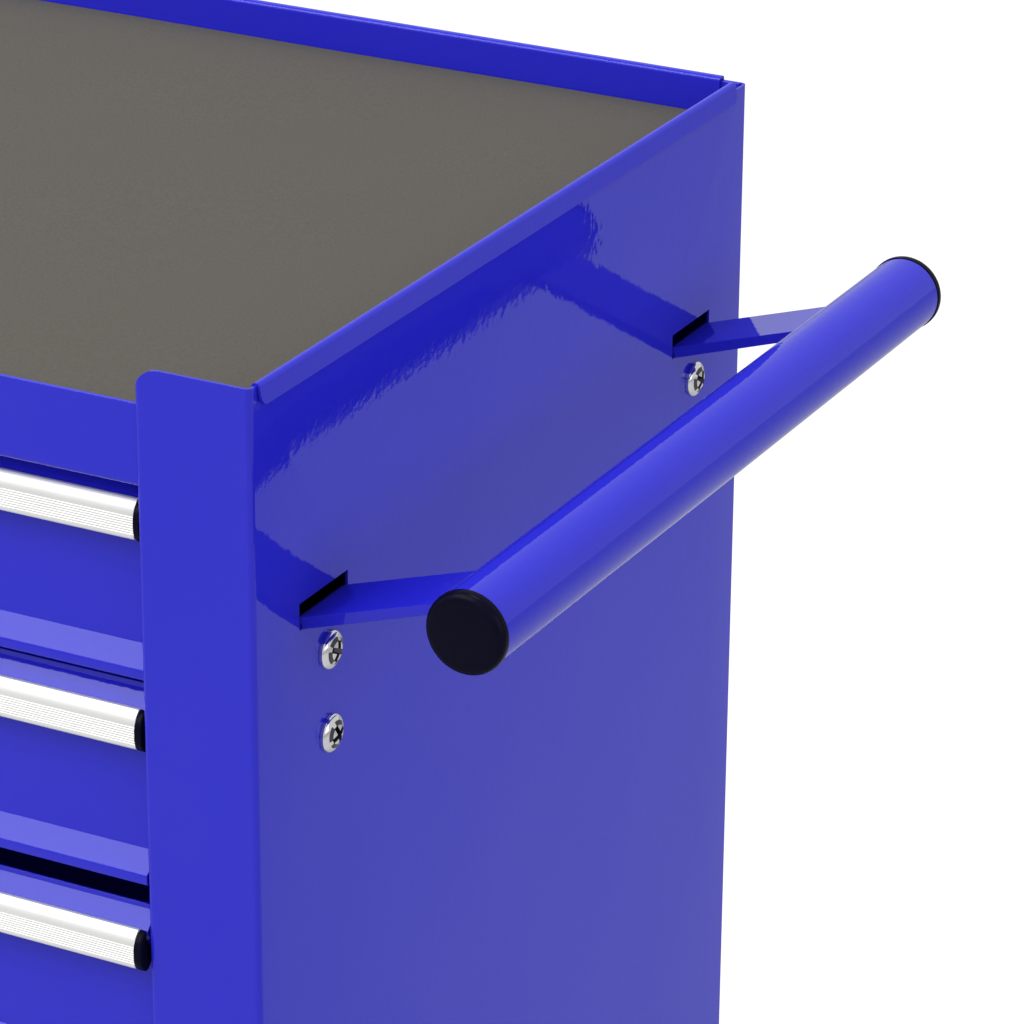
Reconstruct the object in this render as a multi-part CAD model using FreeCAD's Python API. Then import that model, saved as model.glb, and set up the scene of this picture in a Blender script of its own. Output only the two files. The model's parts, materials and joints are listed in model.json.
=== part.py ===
import FreeCAD, Part
import math
import os
from FreeCAD import Vector

# Steel tool trolley: a folded-sheet cabinet with five drawers on ball slides, a matted top tray,
# a side push handle, two fixed and two braked swivel casters.
# Frame: +Z up, drawers open towards -Y, the push handle is on the +X side, origin on the floor
# under the centre of the whole trolley. Millimetres.

os.makedirs("parts", exist_ok=True)

# ---------------------------------------------------------------- driving dimensions
cabinet_width = 615.0
cabinet_depth = 330.0
overall_height = 750.0
body_bottom = 128.0
panel = 0.9
gap = 0.1

post_width = 38.7
post_top_drop = 0.7
post_corner_radius = 8.5
panel_bend = 1.4
return_flange = 24.0
back_flange = 20.0
bend_room = 1.2
fold_room = 1.4
cut_past = 1.0
small_room = 0.3

rim_height = 6.7
rim_lean = 0.9
rim_corner_radius = 3.0
rim_start = 4.0
rim_back_gap = 11.0
back_rim_end_gap = 9.0
back_rim_drop = 2.0
tray_floor_drop = 17.3
tray_lip_drop = 14.0
tray_lip_y = 3.4
tray_lip_foot = 2.6
tray_lip_side_gap = 3.0
rim_bend = 0.95

mat_thickness = 3.0
mat_front_gap = 7.4
mat_side_gap = 0.9
mat_back_gap = 0.4

fascia_top_drop = 12.5
fascia_bottom_drop = 38.5
fascia_return = 9.0
fascia_hem = 7.0
base_rail_height = 22.0
base_rail_return = 10.0
base_back_rise = 16.0
post_plate_start = 262.0
post_plate_return = 17.5
post_plate_steel = 1.0

lock_drop = 28.0
lock_barrel_radius = 6.0
lock_housing_radius = 7.6
lock_flange_radius = 9.2
lock_housing_end = 14.0
lock_flange_proud = 0.6
lock_barrel_proud = 1.2
key_slot_half_width = 1.0
key_slot_half_height = 3.8
key_slot_depth = 8.0
cam_eye_radius = 7.0
cam_half_width = 5.0
cam_start_y = 15.0
cam_thickness = 2.0
cam_reach = 19.0
strike_y = 19.0
strike_half_width = 14.0
strike_height = 8.0

tube_reach = 64.7
tube_drop = 64.8
tube_diameter = 25.0
tube_wall = 1.2
cap_flange_radius = 12.8
cap_side = 1.4
cap_round = 2.6
cap_dome = 0.4
cap_plug_length = 14.0
cap_plug_wall = 2.0
handle_length = 318.6

arm_thickness = 2.0
arm_width = 27.0
arm_centre = 124.8
arm_root_drop = 81.3
arm_slope = 0.315
arm_flange_height = 4.0
arm_bend = 2.4
arm_tube_lap = 4.0
arm_plate_bottom_drop = 138.0
slot_length = 28.6
slot_top_drop = 76.8
slot_bottom_drop = 85.4
handle_screw_offset = 2.5
handle_screw_drops = (98.0, 125.4)
screw_radius = 3.0
screw_hole_radius = 3.3
screw_head_radius = 6.0
screw_head_side = 1.5
screw_head_dome = 2.1
screw_reach = 10.5
recess_half_length = 3.1
recess_half_width = 0.6
recess_floor = 1.6
nut_across_flats = 10.0
nut_height = 5.0

shallow_front = 63.2
deep_front = 175.6
drawer_tops = (38.9, 105.4, 177.0, 243.5, 422.5)
drawer_heights = (shallow_front, shallow_front, shallow_front, deep_front, deep_front)
drawer_resting_gap = (0.0, 2.5, 6.3, 0.0, 0.0)
drawer_side_gap = 1.0
drawer_sheet = 0.8
drawer_bend = 0.9
front_top_y = 12.9
front_nose_y = 7.6
front_face_y = 10.6
front_lip_y = 4.6
front_back_y = 13.3
slope_top_drop = 1.6
nose_drop = 7.1
face_top_drop = 10.4
ledge_rise = 9.4
lip_rise = 3.4

pull_front_y = 3.2
pull_top_drop = 6.3
pull_height = 11.8
pull_back_y = 7.0
pull_wall = 1.4
pull_crown = 3.2
pull_foot = 1.5
rib_count = 8
rib_pitch = 0.85
rib_groove_half_width = 0.18
rib_groove_depth = 0.22
pull_cap = 2.2
pull_cap_proud = 0.35
pull_cap_back_y = 10.0
pull_cap_hang = 1.2

slide_thickness = 12.7
slide_height = 35.0
slide_steel = 1.2
slide_length = 282.0
slide_start = 15.5
slide_drop = 18.0
tub_back_y = 300.0
tub_top_drop = 10.0
tub_bottom_rise = 3.0
tub_front_gap = 0.05
tub_hem_width = 2.4
tub_hem_height = 3.0
outer_rail_depth = 11.0
outer_rail_lip = 2.8
inner_rail_height = 24.0
inner_rail_depth = 9.0
inner_rail_lip = 2.5
rail_bend = 0.9

wheel_radius = 50.0
wheel_width = 28.0
hub_width = 33.0
rim_radius = 38.0
web_half_width = 5.0
hub_radius = 15.0
tread_drop = 4.0
shoulder_drop = 7.0
tread_steps = 12
axle_radius = 4.0
axle_across_flats = 13.0
axle_head = 5.0
axle_nut = 6.5
axle_end = 8.0
running_gap = 0.08
fork_gap = 36.0
fork_steel = 2.5
fork_half_top = 22.0
fork_foot = 14.0
plate_length = 80.0
plate_width = 60.0
plate_thickness = 2.5
plate_corner_radius = 8.0
plate_hole_x = 30.0
plate_hole_y = 20.0
caster_inset_x = 55.0
caster_inset_y = 48.0
caster_trail = 28.0
crown_top = 116.0
race_cup_radius = 24.0
race_cone_radius = 21.0
race_gap = 0.4
race_depth = 3.0
kingpin_radius = 5.0
kingpin_head_radius = 9.0
kingpin_head = 2.7
caster_bolt_reach = 8.0
caster_bolt_head = 4.0
pedal_pivot_back = 8.0
pedal_pivot_z = 106.0
pedal_pin = 3.0
pedal_half_width = 16.0
pedal_eye_radius = 6.0
shoe_half_width = 11.0

# ---------------------------------------------------------------- derived places
left_reach = gap + panel + rim_lean
right_reach = tube_reach + cap_flange_radius
left_face = left_reach - (cabinet_width + left_reach + right_reach) / 2
right_face = left_face + cabinet_width
middle_x = (left_face + right_face) / 2
front_proud = drawer_resting_gap[2] + pull_cap_proud - pull_front_y
front = front_proud - (cabinet_depth + front_proud + gap + panel) / 2
back = front + cabinet_depth
middle_y = (front + back) / 2
top = overall_height
opening_left = left_face + post_width
opening_right = right_face - post_width


# ---------------------------------------------------------------- shape helpers
def block(x0, x1, y0, y1, z0, z1):
    return Part.makeBox(x1 - x0, y1 - y0, z1 - z0, Vector(x0, y0, z0))


def rod(radius, start, end):
    along = end.sub(start)
    return Part.makeCylinder(radius, along.Length, start, along)


def merge(pieces):
    return pieces[0].multiFuse(pieces[1:]).removeSplitter()


def group(pieces):
    return Part.makeCompound(pieces)


def mirrored(shape, x):
    return shape.mirror(Vector(x, 0, 0), Vector(1, 0, 0))


def in_plan(u, v):
    return Vector(u, v, 0)


def in_side(u, v):
    return Vector(0, u, v)


def in_front(u, v):
    return Vector(u, 0, v)


def polygon(points, to_space):
    corners = [to_space(u, v) for u, v in points]
    return Part.Face(Part.makePolygon(corners + corners[:1]))


def sheet_face(points, thickness, bend, to_space):
    """Section of a folded sheet whose middle line follows the points, with round bends."""
    half = thickness / 2
    path = [Vector(u, v, 0) for u, v in points]
    runs = [(b - a).normalize() for a, b in zip(path, path[1:])]

    def side_chain(side):
        chain = []
        here = path[0] + Vector(-runs[0].y, runs[0].x, 0) * half * side
        for before, after, corner in zip(runs, runs[1:], path[1:-1]):
            turn = math.atan2(before.x * after.y - before.y * after.x, before.dot(after))
            sign = math.copysign(1.0, turn)
            setback = bend * math.tan(abs(turn) / 2)
            normal_in = Vector(-before.y, before.x, 0)
            normal_out = Vector(-after.y, after.x, 0)
            centre = corner - before * setback + normal_in * bend * sign
            arc_radius = bend - half * side * sign
            arc_start = corner - before * setback + normal_in * half * side
            arc_end = corner + after * setback + normal_out * half * side
            arc_middle = centre + (corner - centre).normalize() * arc_radius
            chain.append((here, arc_start))
            chain.append((arc_start, arc_middle, arc_end))
            here = arc_end
        chain.append((here, path[-1] + Vector(-runs[-1].y, runs[-1].x, 0) * half * side))
        return chain

    left = side_chain(1)
    right = [tuple(reversed(piece)) for piece in reversed(side_chain(-1))]
    outline = left + [(left[-1][-1], right[0][0])] + right + [(right[-1][-1], left[0][0])]
    edges = []
    for piece in outline:
        spots = [to_space(spot.x, spot.y) for spot in piece]
        if len(spots) == 2:
            edges.append(Part.LineSegment(*spots).toShape())
        else:
            edges.append(Part.Arc(*spots).toShape())
    return Part.Face(Part.Wire(edges))


def folded_along_x(points, x0, x1, thickness, bend):
    face = sheet_face(points, thickness, bend, in_side)
    return face.extrude(Vector(x1 - x0, 0, 0)).translated(Vector(x0, 0, 0))


def folded_along_y(points, y0, y1, thickness, bend):
    face = sheet_face(points, thickness, bend, in_front)
    return face.extrude(Vector(0, y1 - y0, 0)).translated(Vector(0, y0, 0))


def folded_along_z(points, z0, z1, thickness, bend):
    face = sheet_face(points, thickness, bend, in_plan)
    return face.extrude(Vector(0, 0, z1 - z0)).translated(Vector(0, 0, z0))


def prism_along_x(points, x0, x1):
    return polygon(points, in_side).extrude(Vector(x1 - x0, 0, 0)).translated(Vector(x0, 0, 0))


def prism_along_y(points, y0, y1):
    return polygon(points, in_front).extrude(Vector(0, y1 - y0, 0)).translated(Vector(0, y0, 0))


def ring_along_y(profile, x, y, z):
    """Turned part: profile is (radius, place along the axis) about a line along Y."""
    face = polygon(profile, lambda r, along: Vector(r, along, 0))
    turned = face.revolve(Vector(0, 0, 0), Vector(0, 1, 0), 360)
    return turned.translated(Vector(x, y, z))


def hexagon_along(direction, across_flats, height, base):
    corner = across_flats / math.sqrt(3)
    spots = [Vector(corner * math.cos(math.radians(60 * k)), corner * math.sin(math.radians(60 * k)), 0)
             for k in range(7)]
    prism = Part.Face(Part.makePolygon(spots)).extrude(Vector(0, 0, height))
    prism.Placement = FreeCAD.Placement(base, FreeCAD.Rotation(Vector(0, 0, 1), direction))
    return prism


def nut(direction, base, bore):
    return hexagon_along(direction, nut_across_flats, nut_height, base).cut(
        rod(bore, base - direction, base + direction * (nut_height + 1)))


def save(name, shape):
    shape.exportStep("parts/" + name + ".step")


# ---------------------------------------------------------------- side panels
def side_panel():
    """Right side: front post, return flange, side and back flange from one folded sheet."""
    half = panel / 2
    return_x = opening_right + half
    body = folded_along_z(
        [(return_x, front + return_flange), (return_x, front + half), (right_face - half, front + half),
         (right_face - half, back - half), (right_face - back_flange, back - half)],
        body_bottom, top - post_top_drop, panel, panel_bend)
    out = right_face + cut_past
    rim_room = block(right_face - 2 * panel_bend, out, front + rim_start - small_room, back + cut_past,
                     top - fold_room, top)
    back_room = block(right_face - back_flange - cut_past, out, back - rim_back_gap + small_room,
                      back + cut_past, top - back_rim_drop - fold_room, top)
    behind_post = (opening_right - cut_past, opening_right + 2 * panel_bend,
                   front + panel + gap / 2, front + return_flange + cut_past)
    fascia_room = block(*behind_post, top - fascia_bottom_drop - cut_past, top)
    rail_room = block(*behind_post, body_bottom - cut_past, body_bottom + base_rail_height + cut_past)
    corner_x = opening_right + post_corner_radius
    corner_z = top - post_top_drop - post_corner_radius
    corner = block(opening_right - cut_past, corner_x, front - cut_past, front + panel + cut_past,
                   corner_z, top)
    corner = corner.cut(rod(post_corner_radius, Vector(corner_x, front - 2 * cut_past, corner_z),
                            Vector(corner_x, front + panel + 2 * cut_past, corner_z)))
    return body.cut(rim_room).cut(back_room).cut(fascia_room).cut(rail_room).cut(corner)


def handle_screw_places():
    places = []
    for centre in (middle_y - arm_centre, middle_y + arm_centre):
        for drop in handle_screw_drops:
            places.append((centre + handle_screw_offset, top - drop))
    return places


def screw_hole_along_x(y, z, x0, x1):
    return rod(screw_hole_radius, Vector(x0, y, z), Vector(x1, y, z))


plain_side = side_panel()
handle_side = plain_side
for centre in (middle_y - arm_centre, middle_y + arm_centre):
    handle_side = handle_side.cut(block(right_face - 2 * panel, right_face + cut_past,
                                        centre - slot_length / 2, centre + slot_length / 2,
                                        top - slot_bottom_drop, top - slot_top_drop))
for y, z in handle_screw_places():
    handle_side = handle_side.cut(screw_hole_along_x(y, z, right_face - 2 * panel, right_face + cut_past))
save("side_panel_right", handle_side)
save("side_panel_left", mirrored(plain_side, middle_x))

# ---------------------------------------------------------------- back panel, base, fascia, slide posts
between_left = left_face + panel + bend_room
between_right = right_face - panel - bend_room
back_sheet_y = back - panel - gap
save("back_panel", block(between_left, between_right, back_sheet_y - panel, back_sheet_y,
                         body_bottom + panel + gap, top - back_rim_drop - fold_room))

sheet_y = front + panel + gap + panel / 2
base_back_y = back_sheet_y - panel - gap - panel / 2
base = folded_along_x(
    [(sheet_y + base_rail_return, body_bottom + base_rail_height - panel / 2),
     (sheet_y, body_bottom + base_rail_height - panel / 2), (sheet_y, body_bottom + panel / 2),
     (base_back_y, body_bottom + panel / 2), (base_back_y, body_bottom + base_back_rise)],
    between_left, between_right, panel, panel_bend)
caster_xs = (left_face + caster_inset_x, right_face - caster_inset_x)
caster_ys = (front + caster_inset_y, back - caster_inset_y)
bolt_places = [(x + dx, y + dy) for x in caster_xs for y in caster_ys
               for dx in (-plate_hole_x, plate_hole_x) for dy in (-plate_hole_y, plate_hole_y)]
for x, y in bolt_places:
    base = base.cut(rod(screw_hole_radius, Vector(x, y, body_bottom - cut_past),
                        Vector(x, y, body_bottom + 2 * panel)))
save("base_panel", base)

fascia = folded_along_x(
    [(sheet_y + fascia_return, top - fascia_bottom_drop + panel / 2),
     (sheet_y, top - fascia_bottom_drop + panel / 2), (sheet_y, top - fascia_top_drop)],
    between_left, between_right, panel, panel_bend)
hem = block(between_left, between_right, sheet_y, sheet_y + panel,
            top - fascia_top_drop - fascia_hem, top - fascia_top_drop)
lock_x = middle_x
lock_z = top - lock_drop


def lock_rod(radius, y0, y1):
    return rod(radius, Vector(lock_x, y0, lock_z), Vector(lock_x, y1, lock_z))


housing_start = front + panel + gap
housing_end = front + lock_housing_end
save("front_fascia", merge([fascia, hem]).cut(lock_rod(lock_housing_radius, front - cut_past, housing_end)))

plate_x = opening_right + post_plate_steel / 2
plate_end = base_back_y - panel / 2 - gap - post_plate_steel
slide_post = folded_along_z(
    [(plate_x, front + post_plate_start), (plate_x, plate_end), (plate_x + post_plate_return, plate_end)],
    body_bottom + base_rail_height + panel, top - fascia_bottom_drop - panel, post_plate_steel, panel_bend)
save("rear_slide_posts", group([slide_post, mirrored(slide_post, middle_x)]))

# ---------------------------------------------------------------- top tray and its mat
wall_x = right_face - panel - gap - panel / 2
other_wall_x = 2 * middle_x - wall_x
flange_x = right_face + gap + panel / 2
floor_z = top - tray_floor_drop - panel / 2
fold_z = top - panel / 2
rim_low_z = top - rim_height
tray_back_y = back_sheet_y - panel - gap - panel / 2
tray_front_y = front + rim_start
rim_end_y = back - rim_back_gap
half_section = [(flange_x + rim_lean, rim_low_z), (flange_x, fold_z), (wall_x, fold_z), (wall_x, floor_z)]
other_half = [(2 * middle_x - x, z) for x, z in reversed(half_section)]
tray_main = folded_along_y(half_section + other_half, tray_front_y, rim_end_y, panel, rim_bend)
tray_low = folded_along_y([(wall_x, rim_low_z), (wall_x, floor_z), (other_wall_x, floor_z),
                           (other_wall_x, rim_low_z)],
                          tray_front_y - panel / 2, tray_back_y + panel / 2, panel, rim_bend)
rear_fold_y = back + gap + panel / 2
rear_fold_z = fold_z - back_rim_drop
rear_rim = folded_along_x(
    [(tray_back_y, floor_z), (tray_back_y, rear_fold_z), (rear_fold_y, rear_fold_z),
     (rear_fold_y, rim_low_z - back_rim_drop)],
    left_face + back_rim_end_gap, right_face - back_rim_end_gap, panel, rim_bend)
rear_wall = block(other_wall_x, wall_x, tray_back_y - panel / 2, tray_back_y + panel / 2,
                  floor_z, rim_low_z)
front_lip = folded_along_x(
    [(front + tray_lip_y + tray_lip_foot, floor_z), (front + tray_lip_y, floor_z),
     (front + tray_lip_y, top - tray_lip_drop)],
    left_face + tray_lip_side_gap, right_face - tray_lip_side_gap, panel, rim_bend)


def rim_corner(y_end, inward):
    """What is cut off the lower corner of a side rim at one of its ends, to round it."""
    y_centre = y_end + inward * rim_corner_radius
    z_centre = rim_low_z + rim_corner_radius
    x0 = right_face + gap / 2
    x1 = right_face + 2 * panel + rim_lean
    square = block(x0, x1, min(y_end - inward, y_centre), max(y_end - inward, y_centre),
                   rim_low_z - cut_past, z_centre)
    return square.cut(rod(rim_corner_radius, Vector(x0 - cut_past, y_centre, z_centre),
                          Vector(x1 + cut_past, y_centre, z_centre)))


tray = merge([tray_main, tray_low, rear_rim, rear_wall, front_lip])
for corner in (rim_corner(tray_front_y, 1), rim_corner(rim_end_y, -1)):
    tray = tray.cut(corner).cut(mirrored(corner, middle_x))
save("top_tray", tray)

mat_x = wall_x - panel / 2 - mat_side_gap
mat_floor = top - tray_floor_drop
save("tray_mat", block(2 * middle_x - mat_x, mat_x, front + mat_front_gap,
                       tray_back_y - panel / 2 - mat_back_gap, mat_floor, mat_floor + mat_thickness))

# ---------------------------------------------------------------- push handle
tube_x = right_face + tube_reach
tube_z = top - tube_drop
cap_thickness = cap_side + cap_round + cap_dome
tube_y0 = middle_y - handle_length / 2 + cap_thickness
tube_y1 = middle_y + handle_length / 2 - cap_thickness
tube_bore = tube_diameter / 2 - tube_wall
arm_plate_face = right_face - panel - gap / 2
arm_plate_back = arm_plate_face - arm_thickness


def tube_rod(radius, y0, y1):
    return rod(radius, Vector(tube_x, y0, tube_z), Vector(tube_x, y1, tube_z))


def arm_top(x):
    return top - arm_root_drop + arm_slope * (x - right_face)


def handle_arm(centre):
    """Bent strap: a plate bolted inside the side panel, and an arm rising through the slot to the tube."""
    plate_middle = (arm_plate_face + arm_plate_back) / 2
    under = arm_thickness / 2 * math.hypot(1, arm_slope)
    tip = tube_x - arm_tube_lap
    y0 = centre - arm_width / 2
    strap = folded_along_y(
        [(plate_middle, top - arm_plate_bottom_drop), (plate_middle, arm_top(plate_middle) - under),
         (tip, arm_top(tip) - under)],
        y0, y0 + arm_width, arm_thickness, arm_bend)
    flange_start = right_face + small_room
    flange_end = tip - arm_thickness
    flange = prism_along_y(
        [(flange_start, arm_top(flange_start) - small_room), (flange_end, arm_top(flange_end) - small_room),
         (flange_end, arm_top(flange_end) - 0.8 * arm_flange_height),
         (flange_start, arm_top(flange_start) - arm_flange_height)],
        y0, y0 + arm_thickness)
    arm = merge([strap, flange]).cut(tube_rod(tube_diameter / 2, y0 - cut_past, y0 + arm_width + cut_past))
    for y, z in handle_screw_places():
        arm = arm.cut(screw_hole_along_x(y, z, arm_plate_back - cut_past, right_face))
    return arm


save("handle_arms", group([handle_arm(middle_y - arm_centre), handle_arm(middle_y + arm_centre)]))
save("handle_tube", tube_rod(tube_diameter / 2, tube_y0, tube_y1).cut(
    tube_rod(tube_bore, tube_y0 - cut_past, tube_y1 + cut_past)))

cap_rounding = [(cap_flange_radius - cap_round * (1 - math.sin(math.radians(turn))),
                 -cap_side - cap_round * math.cos(math.radians(turn))) for turn in range(0, 91, 15)]
plug_radius = tube_bore - gap / 2
cap_profile = [(0, -cap_thickness)] + cap_rounding + [
    (cap_flange_radius, 0), (plug_radius, 0), (plug_radius, cap_plug_length),
    (plug_radius - cap_plug_wall, cap_plug_length), (plug_radius - cap_plug_wall, 1), (0, 1)]
near_cap = ring_along_y(cap_profile, tube_x, tube_y0, tube_z)
save("handle_end_caps", group([near_cap, near_cap.mirror(Vector(0, middle_y, 0), Vector(0, 1, 0))]))


def pan_screw(y, z):
    """Pan-head cross-recess machine screw through the side panel and the arm plate."""
    side_end = right_face + screw_head_side
    head_end = side_end + screw_head_dome
    ball = (screw_head_radius ** 2 + screw_head_dome ** 2) / (2 * screw_head_dome)
    side = rod(screw_head_radius, Vector(right_face, y, z), Vector(side_end, y, z))
    dome = Part.makeSphere(ball, Vector(head_end - ball, y, z)).common(
        block(side_end, head_end, y - ball, y + ball, z - ball, z + ball))
    shank = rod(screw_radius, Vector(right_face - screw_reach, y, z), Vector(right_face, y, z))
    screw = merge([side, dome, shank])
    for wide, tall in ((recess_half_length, recess_half_width), (recess_half_width, recess_half_length)):
        screw = screw.cut(block(right_face + recess_floor, head_end + cut_past,
                                y - wide, y + wide, z - tall, z + tall))
    return screw


save("handle_screws", group([pan_screw(y, z) for y, z in handle_screw_places()]))

nuts = [nut(Vector(-1, 0, 0), Vector(arm_plate_back, y, z), screw_radius) for y, z in handle_screw_places()]
nuts += [nut(Vector(0, 0, 1), Vector(x, y, body_bottom + panel), screw_radius) for x, y in bolt_places]
save("hex_nuts", group(nuts))

# ---------------------------------------------------------------- lock in the fascia
housing = merge([lock_rod(lock_housing_radius - gap / 2, housing_start, housing_end),
                 lock_rod(lock_flange_radius, front - lock_flange_proud, housing_start)])
save("lock_housing", housing.cut(lock_rod(lock_barrel_radius + running_gap, front - cut_past,
                                          housing_end + cut_past)))

cam_y = front + cam_start_y
key_slot = block(lock_x - key_slot_half_width, lock_x + key_slot_half_width,
                 front - 2 * lock_barrel_proud, front + key_slot_depth,
                 lock_z - key_slot_half_height, lock_z + key_slot_half_height)
save("lock_barrel", lock_rod(lock_barrel_radius, front - lock_barrel_proud, cam_y).cut(key_slot))
save("lock_cam", merge([lock_rod(cam_eye_radius, cam_y, cam_y + cam_thickness),
                        block(lock_x, lock_x + cam_reach, cam_y, cam_y + cam_thickness,
                              lock_z - cam_half_width, lock_z + cam_half_width)]))

# ---------------------------------------------------------------- drawers
front_left = opening_left + drawer_side_gap
front_right = opening_right - drawer_side_gap
tub_right = opening_right - slide_thickness - 2 * gap
tub_left = 2 * middle_x - tub_right
tub_front_y = front + front_back_y + tub_front_gap


def drawer_front(height):
    """Folded front: top lip, slope, nose under the pull, flat face, sloped ledge, lip, bottom return."""
    return folded_along_x(
        [(front + front_top_y, 0), (front + front_top_y, -slope_top_drop),
         (front + front_nose_y, -nose_drop), (front + front_face_y, -face_top_drop),
         (front + front_face_y, ledge_rise - height),
         (front + front_lip_y, lip_rise - height), (front + front_lip_y, drawer_sheet / 2 - height),
         (front + front_back_y, drawer_sheet / 2 - height)],
        front_left, front_right, drawer_sheet, drawer_bend)


def lock_strike():
    """Catch welded into the top drawer: the turned-down cam drops in front of its upright tab."""
    x0 = lock_x - strike_half_width
    x1 = lock_x + strike_half_width
    tab_y = front + strike_y
    z = -tub_top_drop
    foot = block(x0, x1, tub_front_y + drawer_sheet, tab_y, z - drawer_sheet, z)
    tab = block(x0, x1, tab_y, tab_y + drawer_sheet, z - drawer_sheet, z + strike_height)
    return [foot, tab]


def drawer_tub(height):
    """Folded box with hemmed sides, welded to the back of the drawer front."""
    back_y = front + tub_back_y
    bottom = tub_bottom_rise - height
    outer = block(tub_left, tub_right, tub_front_y, back_y, bottom, -tub_top_drop)
    inner = block(tub_left + drawer_sheet, tub_right - drawer_sheet, tub_front_y + drawer_sheet,
                  back_y - drawer_sheet, bottom + drawer_sheet, cut_past)
    hems = [block(x0, x0 + tub_hem_width, tub_front_y, back_y,
                  -tub_top_drop - tub_hem_height, -tub_top_drop)
            for x0 in (tub_left, tub_right - tub_hem_width)]
    return merge([outer.cut(inner)] + hems)


def side_lines(points):
    return [Part.LineSegment(in_side(*a), in_side(*b)).toShape() for a, b in zip(points, points[1:])]


def side_arc(start, middle, end):
    return Part.Arc(in_side(*start), in_side(*middle), in_side(*end)).toShape()


def drawer_pull():
    """Extruded aluminium strip over the nose of the drawer front: a crown, a ribbed grip face, a foot."""
    face_y = front + pull_front_y
    back_y = front + pull_back_y
    z_top = -pull_top_drop
    z_low = z_top - pull_height
    crown_end = (face_y, z_top - pull_crown)
    foot_start = (face_y, z_low + pull_foot)
    foot_end = (face_y + 1.0, z_low)
    crown = side_arc((back_y, z_top), (face_y + 0.9, z_top - 1.0), crown_end)
    foot = side_arc(foot_start, (face_y + 0.3, z_low + 0.4), foot_end)
    inside = [foot_end, (face_y + pull_wall, z_low + 0.6), (face_y + pull_wall, z_top - 3.6),
              (face_y + 2.2, z_top - 2.0), (back_y - 0.9, z_top - 0.9), (back_y - 0.4, z_top - 0.7),
              (back_y, z_top)]
    outline = [crown] + side_lines([crown_end, foot_start]) + [foot] + side_lines(inside)
    section = Part.Face(Part.Wire(outline))
    x0 = front_left + pull_cap
    x1 = front_right - pull_cap
    strip = section.extrude(Vector(x1 - x0, 0, 0)).translated(Vector(x0, 0, 0))
    grooves = []
    for k in range(rib_count):
        z = crown_end[1] - rib_pitch * (k + 0.25)
        grooves.append(prism_along_x(
            [(face_y - small_room, z + rib_groove_half_width),
             (face_y - small_room, z - rib_groove_half_width),
             (face_y + rib_groove_depth, z - 0.25 * rib_groove_half_width),
             (face_y + rib_groove_depth, z + 0.25 * rib_groove_half_width)], x0 - cut_past, x1 + cut_past))
    return strip.cut(group(grooves))


def pull_caps():
    """Moulded oval end caps that close both ends of the pull."""
    face_y = front + pull_front_y - pull_cap_proud
    nose_y = front + pull_back_y
    back_y = front + pull_cap_back_y
    z_top = pull_cap_proud - pull_top_drop
    z_low = -pull_top_drop - pull_height - pull_cap_hang
    z_middle = (z_top + z_low) / 2
    upper = side_arc((nose_y, z_top), (face_y + 1.1, z_top - 2.3), (face_y, z_middle))
    lower = side_arc((face_y, z_middle), (face_y + 1.1, z_low + 2.3), (nose_y, z_low))
    heel = side_arc((nose_y, z_low), (back_y - 0.8, z_low + 1.6), (back_y, z_low + 4.6))
    spine = side_lines([(back_y, z_low + 4.6), (back_y, z_middle), (nose_y, z_top - 2.3), (nose_y, z_top)])
    section = Part.Face(Part.Wire([upper, lower, heel] + spine))
    cap = section.extrude(Vector(pull_cap, 0, 0)).translated(Vector(front_right - pull_cap, 0, 0))
    return group([cap, mirrored(cap, middle_x)])


def channel(x_web, toward, centre_z, tall, deep, lip, y0, y1):
    """Rolled slide rail: a web on x_web, flanges reaching towards +X or -X, lips turned in."""
    half = slide_steel / 2
    high = tall / 2 - half
    x_end = x_web + toward * (deep - half)
    points = [(x_end, high - lip), (x_end, high), (x_web + toward * half, high),
              (x_web + toward * half, -high), (x_end, -high), (x_end, -high + lip)]
    return folded_along_y([(x, z + centre_z) for x, z in points], y0, y1, slide_steel, rail_bend)


outer_rails = []
rail_z = -slide_drop - slide_height / 2
rail_y0 = front + slide_start
rail_y1 = rail_y0 + slide_length
for number, drop in enumerate(drawer_tops):
    height = drawer_heights[number]
    shut = Vector(0, -drawer_resting_gap[number], top - drop)
    name = "drawer_%d_" % (number + 1)
    save(name + "front", drawer_front(height).translated(shut))
    catch = lock_strike() if number == 0 else []
    save(name + "tub", group([drawer_tub(height)] + catch).translated(shut))
    save(name + "pull", drawer_pull().translated(shut))
    save(name + "pull_caps", pull_caps().translated(shut))
    moving = channel(tub_right, 1, rail_z, inner_rail_height, inner_rail_depth, inner_rail_lip,
                     rail_y0, rail_y1)
    save(name + "slides", group([moving, mirrored(moving, middle_x)]).translated(shut))
    fixed = channel(opening_right, -1, rail_z + top - drop, slide_height, outer_rail_depth, outer_rail_lip,
                    rail_y0, rail_y1)
    outer_rails += [fixed, mirrored(fixed, middle_x)]
save("outer_slide_rails", group(outer_rails))

# ---------------------------------------------------------------- casters
fixed_x, swivel_x = caster_xs
trail_x = swivel_x - caster_trail
sides = (("front", caster_ys[0]), ("back", caster_ys[1]))
pedal_pivot_x = trail_x - pedal_pivot_back
fork_inner = fork_gap / 2
fork_outer = fork_inner + fork_steel
plate_bottom = body_bottom - plate_thickness


def upright_rod(radius, x, y, z0, z1):
    return rod(radius, Vector(x, y, z0), Vector(x, y, z1))


def cross_rod(radius, x, z, y0, y1):
    return rod(radius, Vector(x, y0, z), Vector(x, y1, z))


def wheel(x, y):
    """Moulded wheel centre with a hub, a thin web and a rim."""
    half_hub = hub_width / 2
    half_rim = wheel_width / 2 - 1.5
    bore = axle_radius + running_gap
    one_side = [(hub_radius - 2, half_hub), (hub_radius, web_half_width + 3),
                (rim_radius - 8, web_half_width), (rim_radius - 5, half_rim), (rim_radius, half_rim)]
    other_side = [(r, -along) for r, along in one_side]
    return ring_along_y([(bore, -half_hub)] + other_side + one_side[::-1] + [(bore, half_hub)],
                        x, y, wheel_radius)


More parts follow.
